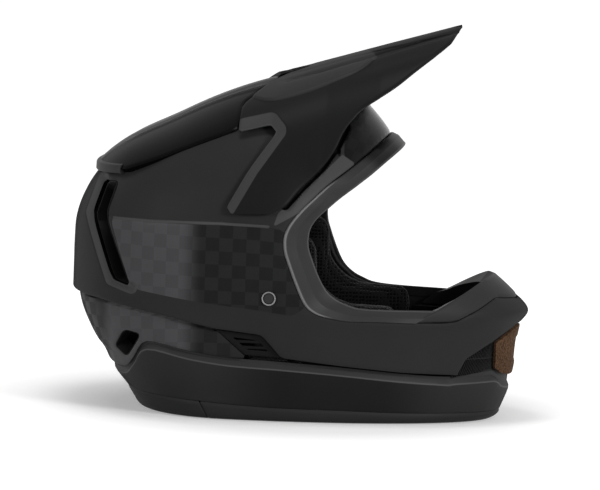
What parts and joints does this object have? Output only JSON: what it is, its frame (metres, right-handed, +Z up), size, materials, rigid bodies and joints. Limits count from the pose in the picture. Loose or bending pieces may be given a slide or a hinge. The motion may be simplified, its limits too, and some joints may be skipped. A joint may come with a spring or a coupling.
{
  "type": "full face helmet",
  "caption": "Full face downhill bike helmet with an adjustable peaked visor, chin bar with vents, lift-out cheek pads and a ratchet chin strap.",
  "frame": {"origin": "bottom centre of the helmet's box at rest, on the surface that it stands on", "axes": "+X forward towards the chin bar, +Y to the wearer's left, +Z up"},
  "size_m": [0.3528, 0.2466, 0.3036],
  "materials": {
    "matte_shell": "matt",
    "gloss_panel": "gloss",
    "black_plastic": "satin",
    "brown_plastic": "satin",
    "black_rubber": "matt",
    "energy_foam": "matt",
    "black_fabric": "matt",
    "dark_metal": "satin"
  },
  "bodies": {
    "helmet": {"outer_shell": "matte_shell", "crown_panel": "gloss_panel", "neck_panel": "matte_shell", "lower_collar": "matte_shell", "base_trim_front": "black_rubber", "base_trim_rear": "black_rubber", "eye_port_trim": "black_rubber", "chin_cap": "black_plastic", "chin_mesh": "black_plastic", "chin_vent_frame": "brown_plastic", "rear_vent_insert_left": "black_plastic", "rear_vent_insert_right": "black_plastic", "lower_rear_vent_left": "black_plastic", "lower_rear_vent_right": "black_plastic", "side_vent_left": "black_plastic", "side_vent_right": "black_plastic", "visor_socket_left": "black_plastic", "visor_socket_right": "black_plastic", "visor_screw_insert": "dark_metal", "crown_foam": "energy_foam", "neck_foam": "energy_foam", "chin_foam": "energy_foam", "comfort_liner": "black_fabric", "brow_pad": "black_fabric", "neck_roll": "black_fabric", "strap_rivet_left": "dark_metal", "strap_rivet_right": "dark_metal", "strap_spacer_left": "black_plastic", "strap_spacer_right": "black_plastic", "cheek_posts": "black_plastic"},
    "visor": {"visor": "matte_shell", "visor_tongue": "black_plastic", "visor_stud_left": "black_plastic", "visor_stud_right": "black_plastic"},
    "screw": {"visor_screw": "dark_metal"},
    "strap": {"chin_strap_left": "black_fabric", "chin_strap_right": "black_fabric", "buckle_housing": "black_plastic", "ratchet_tongue": "black_plastic", "lever_pin": "dark_metal", "jaw_pad_left": "black_fabric", "jaw_pad_right": "black_fabric"},
    "lever": {"buckle_lever": "dark_metal"},
    "cheek_left": {"cheek_pad_left": "black_fabric", "cheek_foam_left": "energy_foam"},
    "cheek_right": {"cheek_pad_right": "black_fabric", "cheek_foam_right": "energy_foam"}
  },
  "joints": [
    {"name": "visor_tilt", "type": "hinge", "parent": "helmet", "child": "visor", "pos_m": [-0.0275, 0, 0.176], "axis": [0, -1, 0], "range_deg": [0, 10]},
    {"name": "visor_screw_spin", "type": "hinge", "parent": "helmet", "child": "screw", "pos_m": [-0.0275, 0, 0.176], "axis": [0.5446, 0, 0.8387], "continuous": true},
    {"name": "strap_swing", "type": "hinge", "parent": "helmet", "child": "strap", "pos_m": [-0.0166, 0, 0.0974], "axis": [0, 1, 0], "range_deg": [-8, 8]},
    {"name": "buckle_lever_lift", "type": "hinge", "parent": "strap", "child": "lever", "pos_m": [-0.0166, 0.016, 0.0205], "axis": [1, 0, 0], "range_deg": [0, 25], "stiffness_Nm_per_rad": 0.02, "springref_deg": -17.19},
    {"name": "cheek_pad_left_pull", "type": "slide", "parent": "helmet", "child": "cheek_left", "axis": [0, -1, 0], "range_m": [0, 0.012]},
    {"name": "cheek_pad_right_pull", "type": "slide", "parent": "helmet", "child": "cheek_right", "axis": [0, 1, 0], "range_m": [0, 0.012]}
  ]
}
